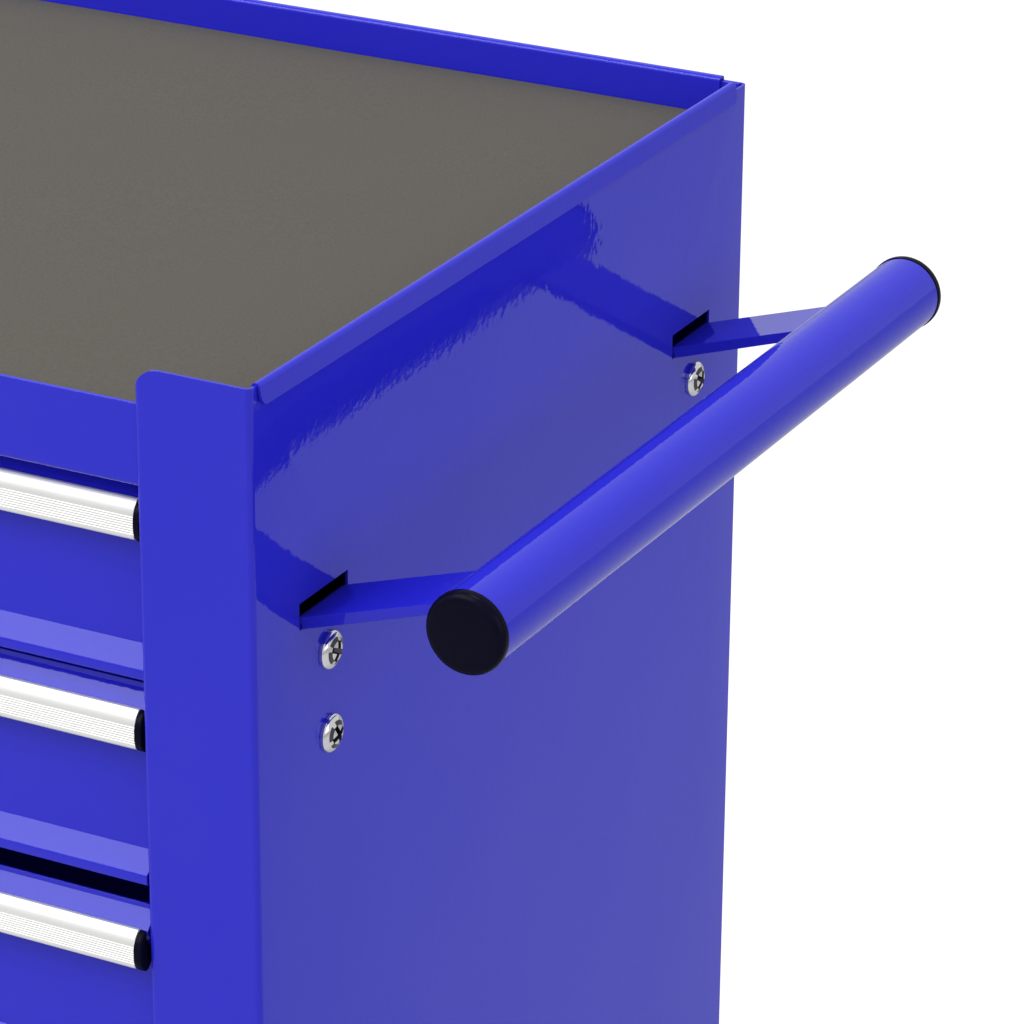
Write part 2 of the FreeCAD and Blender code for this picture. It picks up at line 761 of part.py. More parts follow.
def tyre(x, y):
    """Solid tyre moulded round the wheel centre, with a crowned tread."""
    half = wheel_width / 2
    steps = range(1 - tread_steps, tread_steps)
    tread = [(wheel_radius - tread_drop * (abs(k) / tread_steps) ** 3, half * k / tread_steps)
             for k in steps]
    shoulder = wheel_radius - shoulder_drop
    profile = [(rim_radius, 1.5 - half), (shoulder, -half)] + tread
    profile += [(shoulder, half), (rim_radius, half - 1.5)]
    return ring_along_y(profile, x, y, wheel_radius)


def axle_bolt(x, y):
    """Axle bolt with a hexagon head, and its nut on the far side."""
    shank = cross_rod(axle_radius, x, wheel_radius, y - fork_outer, y + fork_outer + axle_end)
    head = hexagon_along(Vector(0, -1, 0), axle_across_flats, axle_head,
                         Vector(x, y - fork_outer, wheel_radius))
    end_nut = hexagon_along(Vector(0, 1, 0), axle_across_flats, axle_nut,
                            Vector(x, y + fork_outer, wheel_radius))
    return merge([shank, head, end_nut])


def fork_leg(x_top, top_z, x_axle, y, outward):
    """Flat leg of a caster fork, tapering from the top to its rounded foot round the axle."""
    y0 = y + min(outward * fork_inner, outward * fork_outer)
    foot_z = wheel_radius - fork_foot + 2
    return prism_along_y([(x_top - fork_half_top, top_z), (x_top + fork_half_top, top_z),
                          (x_axle + fork_foot - 1, wheel_radius - 4), (x_axle + fork_foot - 6, foot_z),
                          (x_axle - fork_foot + 6, foot_z), (x_axle - fork_foot + 1, wheel_radius - 4)],
                         y0, y0 + fork_steel)


def plate(x, y):
    """Caster top plate with rounded corners and four bolt holes."""
    body = block(x - plate_length / 2, x + plate_length / 2, y - plate_width / 2, y + plate_width / 2,
                 plate_bottom, body_bottom)
    corners = [e for e in body.Edges if abs(e.BoundBox.ZLength - plate_thickness) < gap]
    body = body.makeFillet(plate_corner_radius, corners)
    for dx in (-plate_hole_x, plate_hole_x):
        for dy in (-plate_hole_y, plate_hole_y):
            body = body.cut(upright_rod(screw_hole_radius, x + dx, y + dy, plate_bottom - cut_past,
                                        body_bottom + cut_past))
    return body


def axle_hole(x, y):
    return cross_rod(axle_radius, x, wheel_radius, y - fork_outer - cut_past, y + fork_outer + cut_past)


fixed_forks = []
for side, y in sides:
    legs = [fork_leg(fixed_x, plate_bottom, fixed_x, y, out) for out in (-1, 1)]
    fixed_forks.append(merge([plate(fixed_x, y)] + legs).cut(axle_hole(fixed_x, y)))
    save("fixed_wheel_" + side, wheel(fixed_x, y))
    save("fixed_tyre_" + side, tyre(fixed_x, y))
save("fixed_caster_forks", group(fixed_forks))
save("fixed_caster_axles", group([axle_bolt(fixed_x, y) for side, y in sides]))


def swivel_plate(x, y):
    """Top plate with its ball-race cup and the riveted kingpin."""
    head_end = crown_top - fork_steel - race_gap
    cup = upright_rod(race_cup_radius, x, y, crown_top + race_depth, plate_bottom)
    kingpin = upright_rod(kingpin_radius, x, y, head_end - kingpin_head, crown_top + race_depth + cut_past)
    head = upright_rod(kingpin_head_radius, x, y, head_end - kingpin_head, head_end)
    return merge([plate(x, y), cup, kingpin, head])


def swivel_fork(x, y):
    """Crown, ball-race cone and two raked legs with ears for the brake pivot."""
    crown = block(x - fork_half_top, x + fork_half_top, y - fork_outer, y + fork_outer,
                  crown_top - fork_steel, crown_top)
    cone = upright_rod(race_cone_radius, x, y, crown_top - race_gap, crown_top + race_depth - race_gap)
    pieces = [crown, cone]
    for out in (-1, 1):
        pieces.append(fork_leg(x, crown_top, trail_x, y, out))
        y0 = y + min(out * fork_inner, out * fork_outer)
        pieces.append(prism_along_y([(x - 20, crown_top), (pedal_pivot_x - 6, pedal_pivot_z + 7),
                                     (pedal_pivot_x - 8, pedal_pivot_z - 4), (x - 30, wheel_radius + 30)],
                                    y0, y0 + fork_steel))
    pin = cross_rod(pedal_pin, pedal_pivot_x, pedal_pivot_z, y - fork_outer, y + fork_outer)
    king_hole = upright_rod(kingpin_radius + running_gap, x, y, crown_top - 2 * fork_steel,
                            crown_top + race_depth)
    return merge(pieces + [pin]).cut(axle_hole(trail_x, y)).cut(king_hole)


def brake_pedal(y):
    """Foot lever between the fork legs; its shoe meets the tyre when the pedal is down."""
    y0 = y - pedal_half_width
    y1 = y + pedal_half_width
    eye = cross_rod(pedal_eye_radius, pedal_pivot_x, pedal_pivot_z, y0, y1)
    lever_side = [(0, pedal_eye_radius), (0, 1), (-26, -8), (-58, -13), (-58, -9), (-26, -3)]
    lever = prism_along_y([(pedal_pivot_x + x, pedal_pivot_z + z) for x, z in lever_side], y0, y1)
    shoe = block(pedal_pivot_x - 30, pedal_pivot_x - 18, y - shoe_half_width, y + shoe_half_width,
                 pedal_pivot_z - 24, pedal_pivot_z - 4)
    shoe = shoe.cut(cross_rod(wheel_radius + 0.5, trail_x, wheel_radius, y0, y1))
    pin_hole = cross_rod(pedal_pin + running_gap, pedal_pivot_x, pedal_pivot_z,
                         y0 - cut_past, y1 + cut_past)
    return merge([eye, lever, shoe]).cut(pin_hole)


for side, y in sides:
    save("swivel_fork_" + side, swivel_fork(swivel_x, y))
    save("swivel_wheel_" + side, wheel(trail_x, y))
    save("swivel_tyre_" + side, tyre(trail_x, y))
    save("swivel_axle_" + side, axle_bolt(trail_x, y))
    save("brake_pedal_" + side, brake_pedal(y))
save("swivel_caster_plates", group([swivel_plate(swivel_x, y) for side, y in sides]))


def caster_bolt(x, y):
    shank = upright_rod(screw_radius, x, y, plate_bottom, body_bottom + caster_bolt_reach)
    head = hexagon_along(Vector(0, 0, -1), nut_across_flats, caster_bolt_head, Vector(x, y, plate_bottom))
    return merge([shank, head])


save("caster_bolts", group([caster_bolt(x, y) for x, y in bolt_places]))
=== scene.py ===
import json
import math
import bmesh
import bpy
from mathutils import Matrix, Vector


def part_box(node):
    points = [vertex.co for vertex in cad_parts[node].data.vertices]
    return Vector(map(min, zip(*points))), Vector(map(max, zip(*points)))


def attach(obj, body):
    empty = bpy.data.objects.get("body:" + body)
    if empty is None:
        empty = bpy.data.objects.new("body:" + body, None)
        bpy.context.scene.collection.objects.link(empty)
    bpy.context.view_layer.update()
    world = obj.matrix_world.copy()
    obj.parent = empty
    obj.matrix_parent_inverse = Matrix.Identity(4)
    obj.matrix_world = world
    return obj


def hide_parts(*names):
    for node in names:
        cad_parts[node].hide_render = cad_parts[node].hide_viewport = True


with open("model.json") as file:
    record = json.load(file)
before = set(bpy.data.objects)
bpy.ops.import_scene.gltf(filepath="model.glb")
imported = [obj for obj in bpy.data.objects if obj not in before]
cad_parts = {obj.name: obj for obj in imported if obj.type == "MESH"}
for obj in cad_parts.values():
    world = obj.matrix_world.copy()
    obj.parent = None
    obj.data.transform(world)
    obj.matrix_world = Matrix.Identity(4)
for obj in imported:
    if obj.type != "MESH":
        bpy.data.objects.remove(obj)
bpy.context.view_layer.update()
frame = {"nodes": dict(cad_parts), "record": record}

# ---------------------------------------------------------------- camera
# Looks down on the upper right front corner of the cart, along a long lens.
MM = 0.001
panel_low, panel_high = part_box("side_panel_right")
right_face = panel_high.x
front = panel_low.y
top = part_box("top_tray")[1].z

camera_azimuth = math.radians(27.54)
camera_elevation = math.radians(23.15)
camera_roll = 0.007
camera_right = 0.6158
camera_ahead = 1.0213
camera_above = 0.4717
camera = bpy.data.objects.new("camera", bpy.data.cameras.new("camera"))
bpy.context.scene.collection.objects.link(camera)
camera.location = (right_face + camera_right, front - camera_ahead, top + camera_above)
camera.rotation_euler = (Matrix.Rotation(camera_azimuth, 3, "Z")
                         @ Matrix.Rotation(math.pi / 2 - camera_elevation, 3, "X")
                         @ Matrix.Rotation(camera_roll, 3, "Z")).to_euler()
camera.data.sensor_width = 36
camera.data.lens = 160.5
camera.data.clip_start = 0.05
camera.data.clip_end = 200
bpy.context.scene.camera = camera


# ---------------------------------------------------------------- floor and studio light
# A pale matt floor under a bright even sky, with a soft box overhead, a larger one high in front
# on the left and a weak one on the right, so that ledges are lit and overhangs throw soft shadows.
def link(tree, start, end):
    tree.links.new(start, end)


def plain_material(name):
    """An empty node material with a Principled shader wired to its output."""
    material = bpy.data.materials.new(name)
    material.use_nodes = True
    return material, material.node_tree, material.node_tree.nodes["Principled BSDF"]


def maths(tree, operation, first, second):
    node = tree.nodes.new("ShaderNodeMath")
    node.operation = operation
    for socket, value in zip(node.inputs, (first, second)):
        if isinstance(value, (int, float)):
            socket.default_value = value
        else:
            link(tree, value, socket)
    return node.outputs["Value"]


def softbox(name, place, aim, size, radiance):
    lamp = bpy.data.lights.new(name, "AREA")
    lamp.shape = "RECTANGLE"
    lamp.size, lamp.size_y = size
    lamp.energy = radiance * math.pi * size[0] * size[1]
    holder = bpy.data.objects.new(name, lamp)
    holder.location = place
    holder.rotation_euler = (Vector(aim) - Vector(place)).to_track_quat("-Z", "Y").to_euler()
    holder.visible_camera = False
    bpy.context.scene.collection.objects.link(holder)


floor_reach = 40.0
floor_shade = 0.60
floor_glow = 0.55
sky_strength = 0.70
floor_mesh = bpy.data.meshes.new("floor")
floor_mesh.from_pydata([(-floor_reach, -floor_reach, 0), (floor_reach, -floor_reach, 0),
                        (floor_reach, floor_reach, 0), (-floor_reach, floor_reach, 0)], [], [(0, 1, 2, 3)])
floor = bpy.data.objects.new("floor", floor_mesh)
bpy.context.scene.collection.objects.link(floor)
floor_material, tree, shader = plain_material("pale floor")
shader.inputs["Base Color"].default_value = (floor_shade, floor_shade, floor_shade, 1)
shader.inputs["Roughness"].default_value = 0.6
shader.inputs["Specular IOR Level"].default_value = 0.1
shader.inputs["Emission Color"].default_value = (1, 1, 1, 1)
seen_directly = tree.nodes.new("ShaderNodeLightPath").outputs["Is Camera Ray"]
link(tree, maths(tree, "MULTIPLY", seen_directly, floor_glow), shader.inputs["Emission Strength"])
floor_mesh.materials.append(floor_material)

world = bpy.data.worlds.new("studio")
bpy.context.scene.world = world
world.use_nodes = True
world.node_tree.nodes["Background"].inputs["Color"].default_value = (1, 1, 1, 1)
world.node_tree.nodes["Background"].inputs["Strength"].default_value = sky_strength
bpy.context.scene.view_settings.view_transform = "Standard"

softbox("overhead box", (0.1, 0.1, 3.25), (0.1, 0.1, 0.0), (0.85, 0.85), 6.5)
softbox("front box", (-0.9, -1.6, 2.7), (0, -0.1, 0.7), (2.0, 1.8), 4.0)
softbox("right box", (2.9, -0.7, 1.5), (0.2, 0.0, 0.6), (1.6, 1.6), 1.4)


# ---------------------------------------------------------------- cabinet panels
# Side panels, back, base, fascia and slide posts: 0.9 mm steel sheet, folded and spot welded, with
# a thick gloss blue powder coat. The coat has a faint orange peel, the sheet under it slow waves,
# and the corners are a little rubbed and dusty.
def shader_group(name, inputs, outputs):
    """A shader node group. inputs: name -> default number; outputs: name -> socket type."""
    group = bpy.data.node_groups.new(name, "ShaderNodeTree")
    for title, default in inputs.items():
        socket = group.interface.new_socket(name=title, in_out="INPUT", socket_type="NodeSocketFloat")
        socket.default_value = default
    for title, kind in outputs.items():
        group.interface.new_socket(name=title, in_out="OUTPUT", socket_type=kind)
    start = group.nodes.new("NodeGroupInput")
    end = group.nodes.new("NodeGroupOutput")
    place = group.nodes.new("ShaderNodeTexCoord").outputs["Object"]
    return group, start.outputs, end.inputs, place


def noise_node(tree, coordinates, scale, detail=2.0, roughness=0.5):
    noise = tree.nodes.new("ShaderNodeTexNoise")
    noise.inputs["Detail"].default_value = detail
    noise.inputs["Roughness"].default_value = roughness
    if isinstance(scale, (int, float)):
        noise.inputs["Scale"].default_value = scale
    else:
        link(tree, scale, noise.inputs["Scale"])
    link(tree, coordinates, noise.inputs["Vector"])
    return noise.outputs["Fac"]


def ramp_node(tree, value, low, high, low_out=0.0, high_out=1.0):
    ramp = tree.nodes.new("ShaderNodeMapRange")
    for title, number in (("From Min", low), ("From Max", high), ("To Min", low_out), ("To Max", high_out)):
        ramp.inputs[title].default_value = number
    link(tree, value, ramp.inputs["Value"])
    return ramp.outputs["Result"]


def mix_colour(tree, factor, first, second):
    mix = tree.nodes.new("ShaderNodeMix")
    mix.data_type = "RGBA"
    link(tree, factor, mix.inputs["Factor"])
    for socket, colour in ((mix.inputs["A"], first), (mix.inputs["B"], second)):
        if isinstance(colour, tuple):
            socket.default_value = colour
        else:
            link(tree, colour, socket)
    return mix.outputs["Result"]


def bump_node(tree, strength, height, distance, under=None):
    bump = tree.nodes.new("ShaderNodeBump")
    bump.inputs["Distance"].default_value = distance
    if isinstance(strength, (int, float)):
        bump.inputs["Strength"].default_value = strength
    else:
        link(tree, strength, bump.inputs["Strength"])
    link(tree, height, bump.inputs["Height"])
    if under:
        link(tree, under, bump.inputs["Normal"])
    return bump.outputs["Normal"]


wave_height = 0.004
peel_height = 0.0001
orange_peel, given, made, place = shader_group(
    "orange peel", {"Peel": 0.1, "Wave": 0.1, "Peel Size": 400.0, "Wave Size": 9.0},
    {"Normal": "NodeSocketVector"})
waves = bump_node(orange_peel, given["Wave"], noise_node(orange_peel, place, given["Wave Size"], 1.0),
                  wave_height)
peel = bump_node(orange_peel, given["Peel"], noise_node(orange_peel, place, given["Peel Size"], 1.5),
                 peel_height, waves)
link(orange_peel, peel, made["Normal"])

flat_cosine = 0.99
corner_cosine = 0.80
edge_wear, given, made, place = shader_group(
    "edge wear", {"Radius": 0.0006, "Amount": 0.5}, {"Mask": "NodeSocketFloat"})
bevel = edge_wear.nodes.new("ShaderNodeBevel")
bevel.samples = 4
link(edge_wear, given["Radius"], bevel.inputs["Radius"])
turned_by = edge_wear.nodes.new("ShaderNodeVectorMath")
turned_by.operation = "DOT_PRODUCT"
link(edge_wear, bevel.outputs["Normal"], turned_by.inputs[0])
link(edge_wear, edge_wear.nodes.new("ShaderNodeNewGeometry").outputs["Normal"], turned_by.inputs[1])
corner = ramp_node(edge_wear, turned_by.outputs["Value"], flat_cosine, corner_cosine)
patches = ramp_node(edge_wear, noise_node(edge_wear, place, 60.0, 3.0), 0.45, 0.7)
mask = maths(edge_wear, "MULTIPLY", corner, patches)
link(edge_wear, maths(edge_wear, "MULTIPLY", mask, given["Amount"]), made["Mask"])

dust_film, given, made, place = shader_group(
    "dust film", {"Amount": 0.1, "Size": 30.0}, {"Mask": "NodeSocketFloat"})
film = ramp_node(dust_film, noise_node(dust_film, place, given["Size"], 4.0, 0.6), 0.4, 0.75)
link(dust_film, maths(dust_film, "MULTIPLY", film, given["Amount"]), made["Mask"])


def grouped(tree, group, **values):
    """Places a node group in a material with its own values."""
    node = tree.nodes.new("ShaderNodeGroup")
    node.node_tree = group
    for title, value in values.items():
        node.inputs[title.replace("_", " ")].default_value = value
    return node.outputs


def blue_paint():
    material, tree, shader = plain_material("blue powder coat")
    blue = (0.020, 0.020, 0.59, 1)
    worn = (0.05, 0.055, 0.64, 1)
    dusty = (0.08, 0.08, 0.52, 1)
    dust_amount = 0.05
    wear = grouped(tree, edge_wear, Radius=0.0007, Amount=0.45)["Mask"]
    dust = grouped(tree, dust_film, Amount=dust_amount, Size=14.0)["Mask"]
    skin = grouped(tree, orange_peel, Peel=0.50, Wave=0.12, Peel_Size=300.0, Wave_Size=9.0)["Normal"]
    colour = mix_colour(tree, dust, mix_colour(tree, wear, blue, worn), dusty)
    link(tree, colour, shader.inputs["Base Color"])
    link(tree, ramp_node(tree, dust, 0.0, dust_amount, 0.02, 0.07), shader.inputs["Roughness"])
    link(tree, skin, shader.inputs["Normal"])
    shader.inputs["IOR"].default_value = 1.38
    return material


def smooth(mesh, sharp):
    mesh.shade_smooth()
    mesh.set_sharp_from_angle(angle=math.radians(sharp))


def placed(name, mesh, node, material):
    """Links a mesh as the piece that stands for a CAD node and rides on that node's body."""
    mesh.materials.append(material)
    piece = bpy.data.objects.new(name, mesh)
    bpy.context.scene.collection.objects.link(piece)
    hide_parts(node)
    for body, nodes in frame["record"]["behaviour"]["bodies"].items():
        if node in nodes:
            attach(piece, body)
    return piece


def broken_edges(piece, width):
    bevel = piece.modifiers.new("broken edges", "BEVEL")
    bevel.width = width * MM
    bevel.segments = 2
    bevel.limit_method = "ANGLE"
    bevel.angle_limit = math.radians(40)
    bevel.use_clamp_overlap = True
    bevel.harden_normals = True


same_point = 0.004 * MM
same_plane = math.radians(0.6)


def finished(node, material, edge=0.25, sharp=32):
    """The node's own solid with its edges broken, as a deburred or coated piece has them."""
    mesh = frame["nodes"][node].data.copy()
    work = bmesh.new()
    work.from_mesh(mesh)
    bmesh.ops.remove_doubles(work, verts=work.verts, dist=same_point)
    bmesh.ops.dissolve_limit(work, angle_limit=same_plane, verts=work.verts, edges=work.edges)
    work.to_mesh(mesh)
    work.free()
    if mesh.has_custom_normals:
        mesh.normals_split_custom_set([(0, 0, 0)] * len(mesh.loops))
    smooth(mesh, sharp)
    mesh.materials.clear()
    broken_edges(placed(node + "_sheet", mesh, node, material), edge)


paint = blue_paint()
for node in ("side_panel_right", "side_panel_left", "back_panel", "base_panel", "front_fascia",
             "rear_slide_posts"):
    finished(node, paint)

# ---------------------------------------------------------------- top tray
# One deep steel tray welded between the panels, its side and back rims folded down over their
# outside. The fold is tight, so the coat is thin and a little lighter along it.
finished("top_tray", paint, edge=0.3)


# ---------------------------------------------------------------- tray mat
# A loose sheet of grey rubber, 3 mm thick, cut to the tray. Its top is grained, faintly mottled
# with dust and oil, and it doesn't lie quite flat.
grain_height = 0.0002
grain, given, made, place = shader_group(
    "moulded grain", {"Depth": 0.5, "Size": 900.0, "Blotch Size": 12.0},
    {"Normal": "NodeSocketVector", "Blotch": "NodeSocketFloat", "Speck": "NodeSocketFloat"})
speckle = noise_node(grain, place, given["Size"], 3.0, 0.6)
blotches = noise_node(grain, place, given["Blotch Size"], 4.0, 0.6)
link(grain, bump_node(grain, given["Depth"], speckle, grain_height), made["Normal"])
link(grain, ramp_node(grain, blotches, 0.3, 0.7), made["Blotch"])
link(grain, ramp_node(grain, speckle, 0.35, 0.65), made["Speck"])


def grained(name, dark, light, blotched, roughness, depth, size, specular=0.3):
    """A matt moulded material: two close shades by speck, a third in slow blotches."""
    material, tree, shader = plain_material(name)
    relief = grouped(tree, grain, Depth=depth, Size=size, Blotch_Size=9.0)
    spotted = mix_colour(tree, relief["Speck"], dark, light)
    weak = maths(tree, "MULTIPLY", relief["Blotch"], 0.5)
    link(tree, mix_colour(tree, weak, spotted, blotched), shader.inputs["Base Color"])
    link(tree, ramp_node(tree, relief["Blotch"], 0, 1, roughness - 0.05, roughness + 0.05),
         shader.inputs["Roughness"])
    link(tree, relief["Normal"], shader.inputs["Normal"])
    shader.inputs["Specular IOR Level"].default_value = specular
    return material


def mesh_from(name, vertices, faces, sharp=32):
    """A new mesh, smooth except where its faces meet at more than the sharp angle."""
    mesh = bpy.data.meshes.new(name)
    mesh.from_pydata(vertices, [], faces)
    mesh.validate()
    work = bmesh.new()
    work.from_mesh(mesh)
    bmesh.ops.recalc_face_normals(work, faces=work.faces)
    work.to_mesh(mesh)
    work.free()
    smooth(mesh, sharp)
    return mesh


def skin_between(rings, closed_ends=True):
    """Faces that join rings of equally many points, one to the next, and a face over each end."""
    count = len(rings[0])
    vertices = [point for ring in rings for point in ring]
    faces = []
    for r in range(len(rings) - 1):
        for k in range(count):
            a = r * count + k
            b = r * count + (k + 1) % count
            faces.append((a, b, b + count, a + count))
    if closed_ends:
        faces.append(tuple(range(count - 1, -1, -1)))
        faces.append(tuple(range(len(vertices) - count, len(vertices))))
    return vertices, faces


mat_rubber = grained("grey rubber mat", (0.079, 0.074, 0.065, 1), (0.101, 0.095, 0.083, 1),
                     (0.096, 0.086, 0.073, 1), 0.86, 0.35, 1100.0)
mat_low, mat_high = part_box("tray_mat")
mat_round = 0.7 * MM
mat_sway = 0.18 * MM
mat_waves = ((31, 9, 0.0), (17, -43, 1.3))


def mat_height(x, y):
    """The mat's top at one place: rounded over at the edges, with slow rises where it doesn't lie flat."""
    inside = min(x - mat_low.x, mat_high.x - x, y - mat_low.y, mat_high.y - y)
    fall = max(0.0, mat_round - inside)
    rounded = mat_round - math.sqrt(max(0.0, mat_round ** 2 - fall ** 2))
    sway = mat_sway * sum(math.sin(across * x + back * y + start) for across, back, start in mat_waves)
    return mat_high.z - rounded - 2 * mat_sway + sway


def close_at_ends(low, high, count):
    """Places from low to high, close together within the rounded edges."""
    rounding = [mat_round * (1 - math.cos(math.radians(turn))) for turn in (0, 22, 45, 68, 90)]
    middle = [low + mat_round + (high - low - 2 * mat_round) * k / count for k in range(1, count)]
    return [low + r for r in rounding] + middle + [high - r for r in reversed(rounding)]


mat_xs = close_at_ends(mat_low.x, mat_high.x, 70)
mat_ys = close_at_ends(mat_low.y, mat_high.y, 40)
mat_points = [(x, y, mat_height(x, y)) for y in mat_ys for x in mat_xs]
columns = len(mat_xs)
rows = len(mat_ys)
mat_faces = [(a, a + 1, a + 1 + columns, a + columns)
             for row in range(rows - 1) for a in range(row * columns, row * columns + columns - 1)]
rim = list(range(columns))
rim += [row * columns + columns - 1 for row in range(1, rows)]
rim += [(rows - 1) * columns + k for k in range(columns - 2, -1, -1)]
rim += [row * columns for row in range(rows - 2, 0, -1)]
foot = len(mat_points)
mat_points += [(mat_points[k][0], mat_points[k][1], mat_low.z) for k in rim]
mat_faces += [(rim[k], foot + k, foot + (k + 1) % len(rim), rim[(k + 1) % len(rim)]) for k in range(len(rim))]
mat_faces.append(tuple(range(foot, foot + len(rim))))
placed("rubber_mat", mesh_from("rubber_mat", mat_points, mat_faces, 60), "tray_mat", mat_rubber)

# ---------------------------------------------------------------- drawers
# Each front is one folded sheet: a lip and a slope at the top, a flat face, and a sloped ledge
# that runs down to the bottom lip. The tub behind it is folded and spot welded to the front.
drawer_numbers = range(1, 6)
for number in drawer_numbers:
    for part in ("front", "tub"):
        finished("drawer_%d_%s" % (number, part), paint, edge=0.2)

# ---------------------------------------------------------------- drawer pulls
# Extruded aluminium strips, clear anodised, hooked over the nose of each front: a smooth rounded
# crown, a face with fine ribs, and a plain foot. Saw-cut ends close against the end caps.
line_height = 0.00005
drawn_lines, given, made, place = shader_group(
    "drawn lines", {"Depth": 0.2, "Stretch X": 1.0, "Stretch Y": 1.0, "Stretch Z": 1.0, "Size": 900.0},
    {"Normal": "NodeSocketVector", "Streak": "NodeSocketFloat"})
along = drawn_lines.nodes.new("ShaderNodeCombineXYZ")
for axis in "XYZ":
    link(drawn_lines, given["Stretch " + axis], along.inputs[axis])
pulled = drawn_lines.nodes.new("ShaderNodeVectorMath")
pulled.operation = "MULTIPLY"
link(drawn_lines, place, pulled.inputs[0])
link(drawn_lines, along.outputs["Vector"], pulled.inputs[1])
streaks = noise_node(drawn_lines, pulled.outputs["Vector"], given["Size"], 3.0, 0.6)
link(drawn_lines, bump_node(drawn_lines, given["Depth"], streaks, line_height), made["Normal"])
link(drawn_lines, ramp_node(drawn_lines, streaks, 0.35, 0.65), made["Streak"])


def bare_metal(name, light, dark, smoothest, roughest, depth, stretch, size, metallic=1.0):
    """Bare or plated metal with fine lines along the way that it was drawn or rolled."""
    material, tree, shader = plain_material(name)
    lines = grouped(tree, drawn_lines, Depth=depth, Size=size, Stretch_X=stretch[0],
                    Stretch_Y=stretch[1], Stretch_Z=stretch[2])
    dust = grouped(tree, dust_film, Amount=0.5, Size=40.0)["Mask"]
    link(tree, mix_colour(tree, dust, light, dark), shader.inputs["Base Color"])
    link(tree, ramp_node(tree, lines["Streak"], 0, 1, smoothest, roughest), shader.inputs["Roughness"])
    link(tree, lines["Normal"], shader.inputs["Normal"])
    shader.inputs["Metallic"].default_value = metallic
    return material


def arc_points(start, middle, end, count):
    """Points on the circle arc that runs through three places in a plane, the last one left out."""
    (ax, ay), (bx, by), (cx, cy) = start, middle, end
    four_areas = 2 * (ax * (by - cy) + bx * (cy - ay) + cx * (ay - by))
    a_square = ax * ax + ay * ay
    b_square = bx * bx + by * by
    c_square = cx * cx + cy * cy
    ux = (a_square * (by - cy) + b_square * (cy - ay) + c_square * (ay - by)) / four_areas
    uy = (a_square * (cx - bx) + b_square * (ax - cx) + c_square * (bx - ax)) / four_areas
    radius = math.hypot(ax - ux, ay - uy)
    turns = [math.atan2(y - uy, x - ux) for x, y in (start, middle, end)]
    first = (turns[1] - turns[0] + math.pi) % (2 * math.pi) - math.pi
    rest = (turns[2] - turns[1] + math.pi) % (2 * math.pi) - math.pi
    return [(ux + radius * math.cos(turns[0] + (first + rest) * k / count),
             uy + radius * math.sin(turns[0] + (first + rest) * k / count)) for k in range(count)]


pull_ribs = 8
rib_pitch = 0.78
crown_foot = -3.9


def pull_outline():
    """Section of the pull in millimetres: back from its face, and up from the nose of the front."""
    outline = [(3.9, 0.55), (3.3, 0.75)] + arc_points((2.6, 0.65), (0.75, -1.3), (0, crown_foot), 10)
    for rib in range(pull_ribs):
        groove = crown_foot - rib_pitch * (rib + 0.25)
        outline += [(0, groove + 0.16), (0.06, groove + 0.08), (0.13, groove), (0.06, groove - 0.08),
                    (0, groove - 0.16)]
    outline += arc_points((0, -10.3), (0.25, -11.2), (1.0, -11.6), 4)
    return outline + [(1.0, -11.6), (1.4, -11.1), (1.4, -3.6), (2.2, -2.0), (3.0, -0.9), (3.9, -0.5)]


aluminium = bare_metal("clear anodised aluminium", (0.86, 0.86, 0.845, 1), (0.80, 0.795, 0.77, 1),
                       0.38, 0.45, 0.10, (0.002, 1.0, 1.0), 2500.0, 0.55)
saw_chamfer = 0.12
for number in drawer_numbers:
    node = "drawer_%d_pull" % number
    low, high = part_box(node)
    rings = []
    for x, inset in ((low.x, saw_chamfer), (low.x + saw_chamfer * MM, 0),
                     (high.x - saw_chamfer * MM, 0), (high.x, saw_chamfer)):
        rings.append([(x, low.y + (y + inset * (1 if y < 1 else 0)) * MM, high.z + z * MM)
                      for y, z in pull_outline()])
    placed(node + "_strip", mesh_from(node, *skin_between(rings), 24), node, aluminium)

# ---------------------------------------------------------------- end caps of the pulls
# Moulded black caps pushed on to both ends of every pull. Seen from the side they are upright
# ovals with a heel that reaches back under the nose, and their outer edge is well rounded.
black_plastic = grained("black plastic", (0.002, 0.002, 0.010, 1), (0.003, 0.003, 0.013, 1),
                        (0.005, 0.005, 0.014, 1), 0.26, 0.12, 1600.0, 0.05)
cap_round = 0.8
cap_thick = 2.2
cap_crown = 0.05
crown_inset = 1.6


def cap_outline():
    """Outline of the cap in millimetres: back from its face, and up from its top."""
    bottom = -13.7
    outline = arc_points((4.15, 0), (1.1, -2.3), (0, bottom / 2), 12)
    outline += arc_points((0, bottom / 2), (1.1, bottom + 2.3), (4.15, bottom), 12)
    outline += arc_points((4.15, bottom), (6.35, bottom + 1.6), (7.15, bottom + 4.6), 8)
    return outline + [(7.15, bottom + 4.6), (7.15, bottom / 2), (4.15, -2.3)]


def cap_rings(low, high, x_inner, outward):
    """Rings from the flat inner end to the rounded outer end, drawn in towards the middle."""
    rings = []
    middle_y = 3.4
    middle_z = -6.85
    steps = [(0.0, 0.0)] + [(cap_thick - cap_round + cap_round * math.sin(math.radians(turn)),
                             cap_round * (1 - math.cos(math.radians(turn)))) for turn in range(0, 91, 15)]
    for out, inset in steps + [(cap_thick + cap_crown, crown_inset)]:
        ring = []
        for y, z in cap_outline():
            reach = math.hypot(y - middle_y, z - middle_z)
            keep = 1 - inset / reach
            ring.append((x_inner + outward * out * MM, low.y + (middle_y + (y - middle_y) * keep) * MM,
                         high.z + (middle_z + (z - middle_z) * keep) * MM))
        rings.append(ring)
    return rings


def joined(meshes, sharp):
    """Several lists of points and faces as one mesh."""
    vertices = []
    faces = []
    for points, sides in meshes:
        faces += [tuple(k + len(vertices) for k in face) for face in sides]
        vertices += points
    return mesh_from("joined", vertices, faces, sharp)


